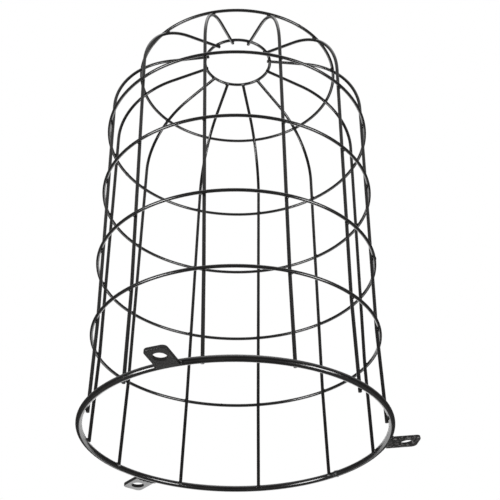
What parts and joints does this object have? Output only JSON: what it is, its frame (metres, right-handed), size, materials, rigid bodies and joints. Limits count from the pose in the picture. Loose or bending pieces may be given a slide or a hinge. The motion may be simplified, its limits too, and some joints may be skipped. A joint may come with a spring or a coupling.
{
  "type": "wire cage lampshade",
  "caption": "Domed wire cage shade of welded hoops and bent ribs, open at the mouth, with a ring for the lamp neck at the crown and drilled fixing tabs on the base ring.",
  "frame": {"origin": "centre of the base ring's wire circle, in the level plane that crosses the three tab holes", "axes": "+Z along the cage's axis from the open mouth to the crown; -Y faces the camera of the picture"},
  "size_m": [0.1746, 0.17, 0.2539],
  "materials": {
    "black_paint": "satin black paint over welded steel wire"
  },
  "bodies": {
    "root": {"base_ring": "black_paint", "hoop_1": "black_paint", "hoop_2": "black_paint", "hoop_3": "black_paint", "hoop_4": "black_paint", "hoop_5": "black_paint", "crown_ring": "black_paint", "rib_01": "black_paint", "rib_02": "black_paint", "rib_03": "black_paint", "rib_04": "black_paint", "rib_05": "black_paint", "rib_06": "black_paint", "rib_07": "black_paint", "rib_08": "black_paint", "rib_09": "black_paint", "rib_10": "black_paint", "rib_11": "black_paint", "rib_12": "black_paint", "tab_1": "black_paint", "tab_2": "black_paint", "tab_3": "black_paint"}
  },
  "joints": []
}
